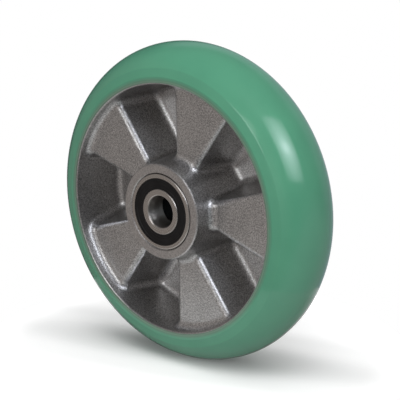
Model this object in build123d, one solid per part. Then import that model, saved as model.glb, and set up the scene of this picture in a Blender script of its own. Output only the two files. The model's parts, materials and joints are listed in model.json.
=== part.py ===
from build123d import *
import math
import os

# Polyurethane wheel on a die-cast aluminium core with two sealed ball bearings.
# Millimetres, +Z up. The origin is the wheel's centre and the axle runs along Y.
# The front of the wheel faces -Y. Outlines are drawn as (radius, distance along the axle).

# Tread
wheel_diameter = 200.0
tread_width = 50.0
tread_thickness = 18.7
crown_height = 13.53
crown_margin = 1.6
crease_fillet = 2.5
lip_thickness = 0.3
lip_setback = 0.6

# Aluminium core
barrel_wall = 4.3
mouth_chamfer = 0.45
hub_length = 60.0
hub_diameter = 59.0
hub_chamfer = 0.7
hub_relief = 0.2
seat_chamfer = 0.8
shoulder_diameter = 40.0
wall_draft = 5.5

# Corrugated web: the raised pads of one side back the pockets of the other side
pad_count = 5
pad_turn = 1.0
pad_height = 17.5
web_thickness = 7.0
pad_side_angle = 18.5
pad_side_inset = 2.4
pad_side_draft = 13.0
pad_edge_fillet = 4.0
root_fillet = 5.2
floor_fillet_margin = 0.6
web_overlap = 1.0

# Ball bearing
bore_diameter = 20.0
bearing_diameter = 47.0
bearing_width = 14.0
inner_land_diameter = 28.06
outer_land_diameter = 38.0
seal_recess_diameter = 41.8
pitch_diameter = 33.5
ball_diameter = 7.938
ball_count = 8
ball_clearance = 0.05
groove_ratio = 0.52
ring_corner = 1.0
land_corner = 0.6

# Seal between the two rings
seal_setback = 0.5
seal_thickness = 1.0
seal_bead = 0.35
seal_bead_width = 0.6
seal_lip_clearance = 0.1
seal_dish_depth = 0.3
seal_dish_margin = 1.5

# Ribbon cage, pressed in two halves and riveted
cage_thickness = 0.7
cage_width = 2.6
cage_clearance = 0.15
rivet_diameter = 1.2
rivet_head_diameter = 2.0
rivet_head_height = 0.4

# Tube that keeps the inner rings apart
spacer_diameter = 26.0
spacer_chamfer = 0.5

# Nearness for picking an edge by its place
pick_tolerance = 0.01

# Places that follow from the sizes above
wheel_radius = wheel_diameter / 2
core_radius = wheel_radius - tread_thickness
mouth_radius = core_radius - barrel_wall
hub_face = hub_length / 2
core_hub_face = hub_face - hub_relief
core_mouth = tread_width / 2 - lip_thickness
bearing_seat = hub_face - bearing_width
bearing_middle = hub_face - bearing_width / 2
pocket_floor = pad_height - web_thickness
floor_fillet = root_fillet + floor_fillet_margin
pad_pitch = 360 / pad_count
ball_radius = ball_diameter / 2
pitch_radius = pitch_diameter / 2
groove_radius = groove_ratio * ball_diameter
cup_radius = ball_radius + cage_clearance
seal_face = bearing_width / 2 - seal_setback
seal_back = seal_face - seal_thickness
seal_bead_radius = seal_recess_diameter / 2 + seal_bead


def both_ways(outline):
    # Half an outline, followed by its mirror image across the middle plane
    return outline + [(radius, -along) for radius, along in reversed(outline)]


def turned(outline, *arcs):
    # A closed outline of straight runs and any arcs given, turned about the axle
    runs = Polyline(*outline, close=not arcs)
    return revolve(make_face([runs, *arcs]), Axis.Y)


def tube(outside, inside, start, end):
    return turned([(inside, start), (outside, start), (outside, end), (inside, end)])


def around_axle(shape, count, first=0.0):
    # Copies at equal angles, counted from +X towards +Z
    return [Rot(Y=-first - 360 / count * place) * shape for place in range(count)]


def rings_at(body, radius, along):
    # The circular edges of a turned body at one radius, on both sides of its middle plane
    rings = body.edges().filter_by(GeomType.CIRCLE)
    level = rings.filter_by(lambda ring: abs(abs(ring.arc_center.Y) - along) < pick_tolerance)
    return level.filter_by(lambda ring: abs(ring.radius - radius) < pick_tolerance)


def tread():
    # The crown is one arc. From its creases the sides slope down to a thin lip over the core.
    edge = tread_width / 2
    crease = edge - crown_margin
    crease_radius = wheel_radius - crown_height
    lip = mouth_radius + lip_setback
    side = [(crease_radius, crease), (core_radius, edge), (lip, edge), (lip, core_mouth),
            (core_radius, core_mouth)]
    crown = ThreePointArc((crease_radius, -crease), (wheel_radius, 0), (crease_radius, crease))
    body = turned(both_ways(side), crown)
    return fillet(rings_at(body, crease_radius, crease), crease_fillet)


def step_section():
    # Section across one side of a pad: its top, its drafted side and the pocket floor beside it
    reach = core_radius
    foot = (pad_height + pocket_floor) * math.tan(math.radians(pad_side_draft)) - pad_side_inset
    surface = FilletPolyline((-reach, pad_height), (-pad_side_inset, pad_height), (foot, -pocket_floor),
                             (reach, -pocket_floor), radius=[pad_edge_fillet, floor_fillet])
    underside = Polyline((reach, -pocket_floor), (reach, -pad_height), (-reach, -pad_height),
                         (-reach, pad_height))
    return make_face([surface, underside])


def front_corrugation():
    # Five pads with the pocket floor between them. A pad is what two mirrored steps share.
    angle = math.radians(pad_side_angle)
    across = Plane((0, 0, 0), x_dir=(-math.sin(angle), 0, math.cos(angle)),
                   z_dir=(math.cos(angle), 0, math.sin(angle)))
    step = extrude(across * step_section(), core_radius)
    pad = step & mirror(step, about=Plane.XY)
    return Part() + around_axle(pad, pad_count)


def wall(radius, mouth, side, edge):
    # A die wall from beyond the casting to the pocket floor: a broken edge at the mouth, then draft
    slope = side * math.tan(math.radians(wall_draft))
    floor = pocket_floor + web_overlap
    return [(radius - side * edge, -hub_length), (radius - side * edge, -mouth),
            (radius + slope * edge, edge - mouth), (radius + slope * (mouth + floor), floor)]


def die():
    # The die that forms the front of the core, between the hub and the inside of the barrel
    hub = wall(hub_diameter / 2, core_hub_face, 1, hub_chamfer)
    barrel = wall(mouth_radius, core_mouth, -1, mouth_chamfer)
    web = tube(core_radius, hub_diameter / 2 - web_overlap, -pad_height, pad_height)
    space = turned(hub + barrel[::-1]) - (web & front_corrugation())
    roots = space.edges().filter_by(GeomType.LINE, reverse=True)
    return fillet(roots.filter_by(lambda edge: (edge @ 0.5).Y > -core_mouth + mouth_chamfer), root_fillet)


def rim():
    # Hub, web and barrel are one casting. The bearing seats are bored from each end.
    seat = bearing_diameter / 2
    shoulder = shoulder_diameter / 2
    hub = hub_diameter / 2
    half = [(shoulder, bearing_seat), (seat, bearing_seat), (seat, core_hub_face - seat_chamfer),
            (seat + seat_chamfer, core_hub_face), (hub + root_fillet, core_hub_face),
            (hub + root_fillet, core_mouth), (core_radius, core_mouth)]
    half_die = die()
    front_die = Rot(Y=-pad_turn) * half_die
    rear_die = Rot(Y=-pad_turn - pad_pitch / 2) * Rot(X=180) * half_die
    return turned(both_ways(half)) - front_die - rear_die


def groove(land, bottom):
    # The ball groove of a ring, from its land on one side to its land on the other
    outwards = 1 if bottom > land else -1
    centre = bottom - outwards * groove_radius
    half_width = math.sqrt(groove_radius**2 - (land - centre)**2)
    return ThreePointArc((land, -half_width), (bottom, 0), (land, half_width))


def outer_ring():
    land = outer_land_diameter / 2
    outside = bearing_diameter / 2
    recess = seal_recess_diameter / 2
    face = bearing_width / 2
    race = groove(land, pitch_radius + ball_radius + ball_clearance)
    half = [(land, (race @ 1).Y), (land, seal_back), (seal_bead_radius, seal_back),
            (seal_bead_radius, seal_back + seal_bead_width), (recess, seal_back + seal_bead_width),
            (recess, face), (outside, face)]
    ring = turned(both_ways(half), race)
    return fillet(rings_at(ring, outside, face), ring_corner)


def inner_ring():
    land = inner_land_diameter / 2
    bore = bore_diameter / 2
    face = bearing_width / 2
    race = groove(land, pitch_radius - ball_radius - ball_clearance)
    half = [(land, (race @ 1).Y), (land, face), (bore, face)]
    ring = turned(both_ways(half), race)
    ring = fillet(rings_at(ring, land, face), land_corner)
    return fillet(rings_at(ring, bore, face), ring_corner)


def seal():
    # A dished disc whose bead snaps into the outer ring and whose lip rides on the inner ring
    lip = inner_land_diameter / 2 + seal_lip_clearance
    recess = seal_recess_diameter / 2
    dish = seal_face - seal_dish_depth
    outer_margin = recess - seal_dish_margin
    inner_margin = lip + seal_dish_margin
    return turned([(lip, seal_back), (seal_bead_radius, seal_back),
                   (seal_bead_radius, seal_back + seal_bead_width), (recess, seal_back + seal_bead_width),
                   (recess, seal_face), (outer_margin, seal_face), (outer_margin - seal_dish_depth, dish),
                   (inner_margin + seal_dish_depth, dish), (inner_margin, seal_face), (lip, seal_face)])


def balls():
    return around_axle(Pos(X=pitch_radius) * Sphere(ball_radius), ball_count)


def rivet():
    # Formed head on each side of the two cage halves, halfway between two balls
    grip = cage_thickness + rivet_head_height
    shank = Rot(X=90) * Cylinder(rivet_diameter / 2, 2 * grip)
    head = Rot(X=90) * Cylinder(rivet_head_diameter / 2, rivet_head_height)
    offset = cage_thickness + rivet_head_height / 2
    return Pos(X=pitch_radius) * (shank + Pos(Y=offset) * head + Pos(Y=-offset) * head)


def rivets():
    return around_axle(rivet(), ball_count, 180 / ball_count)


def cage_half():
    # A flat ribbon with a round cup over each ball
    outside = pitch_radius + cage_width / 2
    inside = pitch_radius - cage_width / 2
    shell = Pos(X=pitch_radius) * Sphere(cup_radius + cage_thickness)
    space = Pos(X=pitch_radius) * Sphere(cup_radius)
    hole = Pos(X=pitch_radius) * Rot(X=90) * Cylinder(rivet_diameter / 2, 2 * cage_thickness)
    band = tube(outside, inside, 0, cup_radius + cage_thickness)
    cups = band & (Part() + around_axle(shell, ball_count))
    ribbon = tube(outside, inside, 0, cage_thickness) + cups
    return ribbon - around_axle(space, ball_count) - around_axle(hole, ball_count, 180 / ball_count)


def spacer():
    bore = bore_diameter / 2
    outside = spacer_diameter / 2
    half = [(bore, bearing_seat), (outside - spacer_chamfer, bearing_seat),
            (outside, bearing_seat - spacer_chamfer)]
    return turned(both_ways(half))


def bearing():
    # One bearing about its own middle plane, with +Y towards the outside of the wheel
    cage = cage_half()
    seal_disc = seal()
    pieces = {
        "outer_ring": outer_ring(),
        "inner_ring": inner_ring(),
        "outer_seal": seal_disc,
        "inner_seal": mirror(seal_disc, about=Plane.XZ),
        "outer_cage_half": cage,
        "inner_cage_half": mirror(cage, about=Plane.XZ),
        "cage_rivets": Compound(children=rivets()),
    }
    for number, ball in enumerate(balls(), start=1):
        pieces[f"ball_{number}"] = ball
    return pieces


def wheel():
    pieces = {"rim": rim(), "tread": tread(), "axle_spacer": spacer()}
    for name, shape in bearing().items():
        rear = Pos(Y=bearing_middle) * shape
        pieces["rear_" + name] = rear
        pieces["front_" + name] = Rot(X=180) * rear
    return pieces


os.makedirs("parts", exist_ok=True)
for node, shape in wheel().items():
    export_step(shape, f"parts/{node}.step")
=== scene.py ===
import bpy
import json
import math
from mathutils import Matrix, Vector

# Dresses the polyurethane wheel: finishes for the tread, the cast core and the bearings,
# then a pale studio. Metres, the axle along Y, the front of the wheel towards -Y.
# A pair of lengths is where a change over the surface starts and where it is complete.

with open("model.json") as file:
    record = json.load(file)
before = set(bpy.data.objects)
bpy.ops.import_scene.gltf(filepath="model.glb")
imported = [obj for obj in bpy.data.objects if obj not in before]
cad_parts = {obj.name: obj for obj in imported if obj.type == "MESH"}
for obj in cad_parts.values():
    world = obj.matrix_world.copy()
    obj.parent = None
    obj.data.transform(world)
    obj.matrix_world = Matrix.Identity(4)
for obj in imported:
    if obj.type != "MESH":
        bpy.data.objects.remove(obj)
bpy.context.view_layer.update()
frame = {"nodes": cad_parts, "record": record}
nodes = frame["nodes"]
print("frame loaded:", len(nodes), "CAD nodes")


class Wire:
    # A node's output. Plain arithmetic on it adds Math nodes to the same material.
    def __init__(self, tree, socket=None):
        self.tree = tree
        self.socket = socket

    def node(self, kind, settings, inputs, output=0):
        made = self.tree.nodes.new(kind)
        for name, value in settings.items():
            setattr(made, name, value)
        for name, value in inputs.items():
            if isinstance(value, Wire):
                self.tree.links.new(value.socket, made.inputs[name])
            else:
                made.inputs[name].default_value = value
        return Wire(self.tree, made.outputs[output] if made.outputs else None)

    def output(self, name):
        # Another output of the same node
        return Wire(self.tree, self.socket.node.outputs[name])

    def maths(self, operation, first, second=0.0):
        return self.node("ShaderNodeMath", {"operation": operation}, {0: first, 1: second})

    def __add__(self, other):
        return self.maths("ADD", self, other)

    def __sub__(self, other):
        return self.maths("SUBTRACT", self, other)

    def __mul__(self, other):
        return self.maths("MULTIPLY", self, other)

    def __rsub__(self, other):
        return self.maths("SUBTRACT", other, self)

    __radd__ = __add__
    __rmul__ = __mul__


def linear(red, green, blue):
    # Colours are written as 0 to 255, as a picture shows them
    values = [channel / 255 for channel in (red, green, blue)]
    return [v / 12.92 if v < 0.04045 else ((v + 0.055) / 1.055) ** 2.4 for v in values] + [1.0]


def newMaterial(name):
    material = bpy.data.materials.new(name)
    material.use_nodes = True
    material.node_tree.nodes.clear()
    return material, Wire(material.node_tree)


def finishMaterial(tree, inputs):
    shader = tree.node("ShaderNodeBsdfPrincipled", {}, inputs)
    tree.node("ShaderNodeOutputMaterial", {}, {"Surface": shader})


def objectPlace(tree):
    return tree.node("ShaderNodeTexCoord", {}, {}, "Object")


def axes(tree, place):
    split = tree.node("ShaderNodeSeparateXYZ", {}, {0: place})
    return [split.output(axis) for axis in "XYZ"]


def wheelPlace(tree, place):
    # The distance from the axle and the distance from the wheel's middle plane
    x, y, z = axes(tree, place)
    return tree.maths("SQRT", x * x + z * z), tree.maths("ABSOLUTE", y)


def noise(tree, place, size, detail=3.0, roughness=0.5):
    # Size is about one blotch of the pattern, in metres
    return tree.node("ShaderNodeTexNoise", {}, {"Vector": place, "Scale": 1 / size,
                                                "Detail": detail, "Roughness": roughness})


def rings(tree, distance, pitch):
    # Turning marks: a pattern that changes along one distance only
    return tree.node("ShaderNodeTexNoise", {"noise_dimensions": "1D"},
                     {"W": distance, "Scale": 1 / pitch, "Detail": 3.0})


def between(tree, value, start, end):
    # 0 before start and 1 after end, with a soft change between
    return tree.node("ShaderNodeMapRange", {"interpolation_type": "SMOOTHSTEP"},
                     {"Value": value, "From Min": start, "From Max": end})


def blendColours(tree, factor, first, second):
    return tree.node("ShaderNodeMix", {"data_type": "RGBA"}, {0: factor, 6: first, 7: second}, 2)


def bump(tree, height, depth, under=None):
    inputs = {"Height": height, "Distance": depth}
    if under:
        inputs["Normal"] = under
    return tree.node("ShaderNodeBump", {}, inputs)


treadFinish = {
    "colour": linear(81, 146, 117),
    "shade": linear(78, 142, 114),
    "mottleSize": 0.03,
    "mottleRange": (0.35, 0.65),
    "roughness": 0.11,
    "roughnessSpread": 0.03,
    "smearSize": 0.006,
    "waveSize": 0.004,
    "waveDepth": 0.00001,
    "ior": 1.57,
    "sideDepth": (0.0244, 0.0246),     # from the middle plane
    "lipRadius": (0.0779, 0.0815),     # greyest at the first, plain green at the second
    "lipColour": linear(104, 112, 102),
    "lipShare": 0.72,
    "lipRoughness": 0.2,               # on top of the tread's own
}


def polyurethane():
    material, tree = newMaterial("polyurethane")
    place = objectPlace(tree)
    radius, depth = wheelPlace(tree, place)
    mottle = between(tree, noise(tree, place, treadFinish["mottleSize"]),
                     *treadFinish["mottleRange"])
    body = blendColours(tree, mottle, treadFinish["colour"], treadFinish["shade"])
    # The thin lip over the core lets the metal's grey through
    onSide = between(tree, depth, *treadFinish["sideDepth"])
    lip = (1 - between(tree, radius, *treadFinish["lipRadius"])) * onSide
    colour = blendColours(tree, lip * treadFinish["lipShare"], body, treadFinish["lipColour"])
    smear = noise(tree, place, treadFinish["smearSize"])
    rough = (treadFinish["roughness"] + (smear - 0.5) * treadFinish["roughnessSpread"]
             + lip * treadFinish["lipRoughness"])
    wave = noise(tree, place, treadFinish["waveSize"], detail=2.0)
    finishMaterial(tree, {"Base Color": colour, "Roughness": rough,
                          "Normal": bump(tree, wave, treadFinish["waveDepth"]),
                          "IOR": treadFinish["ior"]})
    return material


coreFinish = {
    "bright": linear(221, 220, 219),
    "dull": linear(142, 141, 141),
    "speckRange": (0.3, 0.7),
    "grainSize": 0.0008,
    "grainRoughness": 0.6,
    "grainDepth": 0.00009,
    "cloudSize": 0.015,
    "cloudShare": 0.1,
    "roughness": 0.37,
    "roughnessSpread": 0.2,
    "hubFace": (0.0293, 0.0295),       # from the middle plane
    "mouthFace": (0.0243, 0.0245),     # from the middle plane
    "mouthRadius": (0.0730, 0.0735),
    "machined": linear(196, 193, 191),
    "machinedShare": 0.5,              # how far turning has taken the cast look away
    "machinedPolish": 0.05,
    "markPitch": 0.0005,
    "markDepth": 0.000004,
    # The joint round the bearing is painted darker, as painted shade in the gap
    "jointRadius": (0.0235, 0.0238),
    "jointShade": linear(24, 22, 21),
}


def castAluminium():
    material, tree = newMaterial("castAluminium")
    place = objectPlace(tree)
    radius, depth = wheelPlace(tree, place)
    grain = noise(tree, place, coreFinish["grainSize"], roughness=coreFinish["grainRoughness"])
    cloud = noise(tree, place, coreFinish["cloudSize"])
    speck = between(tree, grain + (cloud - 0.5) * coreFinish["cloudShare"],
                    *coreFinish["speckRange"])
    cast = blendColours(tree, speck, coreFinish["dull"], coreFinish["bright"])
    # The hub's face and the mouth of the barrel are turned after casting
    hubFace = between(tree, depth, *coreFinish["hubFace"])
    mouthFace = (between(tree, depth, *coreFinish["mouthFace"])
                 * between(tree, radius, *coreFinish["mouthRadius"]))
    turned = tree.maths("MAXIMUM", hubFace, mouthFace)
    worn = turned * coreFinish["machinedShare"]
    colour = blendColours(tree, worn, cast, coreFinish["machined"])
    # Painted shade: darker in the joint round the bearing, where the gap is shaded
    joint = 1 - between(tree, radius, *coreFinish["jointRadius"])
    colour = blendColours(tree, joint, colour, coreFinish["jointShade"])
    rough = (coreFinish["roughness"] + (grain - 0.5) * coreFinish["roughnessSpread"]
             - turned * coreFinish["machinedPolish"])
    castBump = bump(tree, grain * (1 - worn), coreFinish["grainDepth"])
    marks = rings(tree, radius, coreFinish["markPitch"])
    allBump = bump(tree, marks * turned, coreFinish["markDepth"], castBump)
    finishMaterial(tree, {"Base Color": colour, "Metallic": 1.0, "Roughness": rough,
                          "Normal": allBump})
    return material


ringFinish = {"colour": linear(193, 188, 183), "roughness": 0.26, "markDepth": 0.000002}
# The spacer is made nearly black so that the deep bore shows dark: painted shade
spacerFinish = {"colour": linear(46, 46, 47), "roughness": 0.5, "markDepth": 0.000001}
cageFinish = {"colour": linear(180, 176, 168), "roughness": 0.3, "markDepth": 0.000002}
ballFinish = {"colour": linear(200, 200, 204), "roughness": 0.08, "markDepth": 0.0}

steelWear = {
    "cloudSize": 0.004,
    "cloudRoughness": 0.1,
    "shade": 0.7,                      # the darkest tint, as a share of the colour
    "shadeShare": 0.25,
    "shadeSpread": 0.5,
    "markPitch": 0.0003,
    "markRoughness": 0.12,
    # Painted shade in the joint round the bearing
    "jointRadius": (0.0233, 0.0235),
    "jointShade": linear(24, 22, 21),
    "boreRadius": (0.0101, 0.0103),
    "boreMarks": 140,                  # how many times deeper the marks are in the bore
    "boreRoughness": 0.06,
}


def groundSteel(name, finish):
    # Ground rings: fine turning marks, slightly uneven polish
    material, tree = newMaterial(name)
    place = objectPlace(tree)
    radius, depth = wheelPlace(tree, place)
    cloud = noise(tree, place, steelWear["cloudSize"])
    marks = rings(tree, radius + depth, steelWear["markPitch"])
    shade = [channel * steelWear["shade"] for channel in finish["colour"][:3]] + [1.0]
    colour = blendColours(tree, (cloud - 0.5) * steelWear["shadeSpread"] + steelWear["shadeShare"],
                          finish["colour"], shade)
    # Painted shade: darker at the ring's outer edge, in the joint round the bearing
    joint = between(tree, radius, *steelWear["jointRadius"])
    colour = blendColours(tree, joint, colour, steelWear["jointShade"])
    # The bore is ground, with marks that run round it and spread the light along it
    bore = 1 - between(tree, radius, *steelWear["boreRadius"])
    rough = (finish["roughness"] + (marks - 0.5) * steelWear["markRoughness"]
             + (cloud - 0.5) * steelWear["cloudRoughness"] + bore * steelWear["boreRoughness"])
    markBump = bump(tree, marks * (1 + bore * steelWear["boreMarks"]), finish["markDepth"])
    finishMaterial(tree, {"Base Color": colour, "Metallic": 1.0, "Roughness": rough,
                          "Normal": markBump})
    return material


sealFinish = {
    "colour": linear(16, 15, 15),
    "rubbed": linear(22, 21, 21),
    "cloudSize": 0.006,
    "cloudRange": (0.3, 0.7),
    "grainSize": 0.0005,
    "grainDepth": 0.00001,
    "roughness": 0.5,
    "roughnessSpread": 0.2,
    "specular": 0.2,
}


def sealRubber():
    material, tree = newMaterial("sealRubber")
    place = objectPlace(tree)
    grain = noise(tree, place, sealFinish["grainSize"], detail=2.0)
    cloud = noise(tree, place, sealFinish["cloudSize"])
    colour = blendColours(tree, between(tree, cloud, *sealFinish["cloudRange"]),
                          sealFinish["colour"], sealFinish["rubbed"])
    rough = sealFinish["roughness"] + (cloud - 0.5) * sealFinish["roughnessSpread"]
    finishMaterial(tree, {"Base Color": colour, "Roughness": rough,
                          "Normal": bump(tree, grain, sealFinish["grainDepth"]),
                          "Specular IOR Level": sealFinish["specular"]})
    return material


finishes = {
    "cast_aluminium": castAluminium(),
    "polyurethane": polyurethane(),
    "bearing_steel": groundSteel("bearingSteel", ringFinish),
    "seal_rubber": sealRubber(),
    "spacer_steel": groundSteel("spacerSteel", spacerFinish),
    "cage_steel": groundSteel("cageSteel", cageFinish),
    "ball_steel": groundSteel("ballSteel", ballFinish),
}

for part in frame["record"]["subparts"]:
    shown = nodes[part["node"]]
    shown.data.materials.clear()
    shown.data.materials.append(finishes[part["material_slot"]])
print("finishes on:", len(finishes))


camera = {
    "azimuth": 40.92,
    "elevation": 15.54,
    "distance": 0.8,
    "lens": 116.2,
    "shiftX": 0.0189,
    "shiftY": 0.0052,
}


def direction(azimuth, elevation):
    # Azimuth 0 is the front, towards -Y, and 90 is towards +X
    turn, rise = math.radians(azimuth), math.radians(elevation)
    return Vector((math.sin(turn) * math.cos(rise), -math.cos(turn) * math.cos(rise),
                   math.sin(rise)))


def aimed(thing, look):
    # Stands off from the wheel's centre and faces it
    away = direction(look["azimuth"], look["elevation"])
    thing.location = away * look["distance"]
    thing.rotation_mode = "QUATERNION"
    thing.rotation_quaternion = away.to_track_quat("Z", "Y")
    bpy.context.scene.collection.objects.link(thing)
    return thing


# A lamp that isn't mirrored lights matt surfaces only, and a mirrored one shows only in gloss
lamps = {
    "keyBox": {"azimuth": 45, "elevation": 60, "distance": 1.3, "size": 1.0, "power": 7.2,
               "colour": (1.0, 1.0, 1.0), "mirrored": False},
    "frontWash": {"azimuth": 20, "elevation": 10, "distance": 1.3, "size": 1.0, "power": 11.2,
                  "colour": (1.0, 1.0, 1.0), "mirrored": False},
    "rightStreak": {"azimuth": 74, "elevation": 36, "distance": 1.3, "size": 0.95, "power": 9.2,
                    "colour": (0.87, 0.91, 1.0), "mirrored": True},
    "frontStreak": {"azimuth": 4, "elevation": 25, "distance": 1.3, "size": 0.6, "power": 2.4,
                    "colour": (0.96, 0.98, 1.0), "mirrored": True},
}

lampCloth = {
    "clothGlow": 1.7,
    "clothFade": -4.5,
    "bulbGlow": 1.3,
    "bulbFadeAcross": -20,
    "bulbFadeUp": -120,
}


def softBox(name):
    # A square light that is brightest in its middle, as a lamp behind cloth
    look = lamps[name]
    lamp = bpy.data.lights.new(name, "AREA")
    lamp.shape = "SQUARE"
    lamp.size = look["size"]
    lamp.energy = look["power"]
    lamp.color = look["colour"]
    lamp.use_nodes = True
    lamp.node_tree.nodes.clear()
    tree = Wire(lamp.node_tree)
    x, y = axes(tree, tree.node("ShaderNodeNewGeometry", {}, {}, "Parametric"))[:2]
    across, up = x - 0.5, y - 0.5
    cloth = tree.maths("EXPONENT", (across * across + up * up) * lampCloth["clothFade"])
    bulb = tree.maths("EXPONENT", across * across * lampCloth["bulbFadeAcross"]
                      + up * up * lampCloth["bulbFadeUp"])
    strength = cloth * lampCloth["clothGlow"] + bulb * lampCloth["bulbGlow"]
    light = tree.node("ShaderNodeEmission", {}, {"Strength": strength})
    tree.node("ShaderNodeOutputLight", {}, {"Surface": light})
    thing = aimed(bpy.data.objects.new(name, lamp), look)
    thing.visible_camera = False
    thing.visible_glossy = look["mirrored"]
    thing.visible_diffuse = not look["mirrored"]


def rayKinds(tree):
    # What the camera sees, and what gloss or glass shows. The other rays light matt surfaces.
    seen = tree.node("ShaderNodeLightPath", {}, {}, "Is Camera Ray")
    glossy, through = seen.output("Is Glossy Ray"), seen.output("Is Transmission Ray")
    return seen, tree.maths("MAXIMUM", glossy, through)


floorLook = {
    "level": -0.1,
    "size": 0.28,
    "corners": 96,
    "colour": linear(225, 225, 225),   # to the camera
    "bounce": linear(160, 160, 160),   # to the wheel
    "shadowTurn": 18.4,                # degrees from X
    "shadowShift": 0.0047,
    "shadowNarrowing": 0.2,            # its width as a share of its length
    "shadowGlow": 0.03,
    "openGlow": 0.3,
    "openFrom": (0.008, 0.035),        # beside the shadow
    "farGlow": 0.15,
    "farFrom": (0.04, 0.06),           # beside the shadow
    "edgeFrom": (0.11, 0.137),         # from the floor's centre
    "mirroredGlow": 0.7,
}


def floorMaterial():
    # White to the camera where nothing shades it, and clear from below
    material, tree = newMaterial("paleFloor")
    seen, shiny = rayKinds(tree)
    colour = blendColours(tree, seen, floorLook["bounce"], floorLook["colour"])
    matt = tree.node("ShaderNodeBsdfDiffuse", {}, {"Color": colour})
    # Partly painted shadow: the glow is least along a band under the wheel and grows away from it,
    # so that the cast shadow stays deep and the floor ends in the same white as the backdrop
    x, y = axes(tree, objectPlace(tree))[:2]
    turn = math.radians(floorLook["shadowTurn"])
    along = (x * math.cos(turn) + y * math.sin(turn)) * floorLook["shadowNarrowing"]
    across = y * math.cos(turn) - x * math.sin(turn) - floorLook["shadowShift"]
    beside = tree.maths("SQRT", along * along + across * across)
    away = tree.maths("SQRT", x * x + y * y)
    near = between(tree, beside, *floorLook["openFrom"]) * floorLook["openGlow"]
    far = between(tree, beside, *floorLook["farFrom"]) * floorLook["farGlow"]
    edge = between(tree, away, *floorLook["edgeFrom"]) * floorLook["farGlow"]
    shown = seen + shiny * floorLook["mirroredGlow"]
    strength = (near + far + edge + floorLook["shadowGlow"]) * shown
    glow = tree.node("ShaderNodeEmission", {}, {"Strength": strength})
    lit = tree.node("ShaderNodeAddShader", {}, {0: matt, 1: glow})
    back = tree.node("ShaderNodeNewGeometry", {}, {}, "Backfacing")
    clear = tree.node("ShaderNodeBsdfTransparent", {}, {})
    both = tree.node("ShaderNodeMixShader", {}, {0: back, 1: lit, 2: clear})
    tree.node("ShaderNodeOutputMaterial", {}, {"Surface": both})
    return material


white = (1.0, 1.0, 1.0, 1.0)
black = (0.0, 0.0, 0.0, 1.0)

# Patches of light lie one over another. Each is full within its inner angle of a direction and
# ends at its outer angle. Azimuth, elevation, outer and inner stand in this order.
roomLook = {
    "dim": (0.065, 0.067, 0.078, 1.0),
    "shinyPatches": {
        "front": ((0.33, 0.303, 0.288, 1.0), (-25, -5, 95, 50)),
        "right": ((0.16, 0.175, 0.19, 1.0), (135, -5, 85, 50)),
        "back": ((0.4, 0.46, 0.5, 1.0), (180, 0, 45, 25)),
        "highBack": ((0.4, 0.46, 0.5, 1.0), (200, 42, 38, 22)),
        "ceiling": ((0.15, 0.15, 0.16, 1.0), (0, 90, 58, 40)),
        "lowRight": ((0.55, 0.6, 0.6, 1.0), (110, -50, 60, 35)),
        "backdrop": (white, (camera["azimuth"] + 180, -camera["elevation"], 18, 8)),
    },
    "mattPatches": {
        "right": ((0.5, 0.5, 0.5, 1.0), (118, -8, 75, 30)),
        "top": ((0.98, 0.98, 0.98, 1.0), (0, 90, 60, 30)),
    },
}


def patches(tree, towards, colour, look):
    for tone, (azimuth, elevation, outer, inner) in look.values():
        nearness = tree.node("ShaderNodeVectorMath", {"operation": "DOT_PRODUCT"},
                             {0: towards, 1: direction(azimuth, elevation)}, "Value")
        within = between(tree, nearness, math.cos(math.radians(outer)),
                         math.cos(math.radians(inner)))
        colour = blendColours(tree, within, colour, tone)
    return colour


def studioWorld():
    # The camera sees white all round. Shiny surfaces see a dim room with brighter walls, and
    # the white backdrop where the wheel hides it from the camera. Matt surfaces get a soft fill.
    world = bpy.data.worlds.new("studio")
    world.use_nodes = True
    world.node_tree.nodes.clear()
    tree = Wire(world.node_tree)
    seen, shiny = rayKinds(tree)
    towards = tree.node("ShaderNodeTexCoord", {}, {}, "Generated")
    room = patches(tree, towards, roomLook["dim"], roomLook["shinyPatches"])
    fill = patches(tree, towards, black, roomLook["mattPatches"])
    colour = blendColours(tree, shiny, fill, room)
    colour = blendColours(tree, seen, colour, white)
    light = tree.node("ShaderNodeBackground", {}, {"Color": colour, "Strength": 1.0})
    tree.node("ShaderNodeOutputWorld", {}, {"Surface": light})
    bpy.context.scene.world = world


bpy.ops.object.select_all(action="DESELECT")
bpy.ops.mesh.primitive_circle_add(vertices=floorLook["corners"], radius=floorLook["size"] / 2,
                                  fill_type="NGON", location=(0, 0, floorLook["level"]))
floor = bpy.context.object
floor.name = "floor"
floor.data.materials.append(floorMaterial())
print("floor laid")

for lamp in lamps:
    softBox(lamp)
studioWorld()
print("lamps up:", len(lamps))

lens = bpy.data.cameras.new("camera")
lens.lens = camera["lens"]
lens.shift_x = camera["shiftX"]
lens.shift_y = camera["shiftY"]
bpy.context.scene.camera = aimed(bpy.data.objects.new("camera", lens), camera)
bpy.context.scene.view_settings.view_transform = "Standard"
print("studio ready")
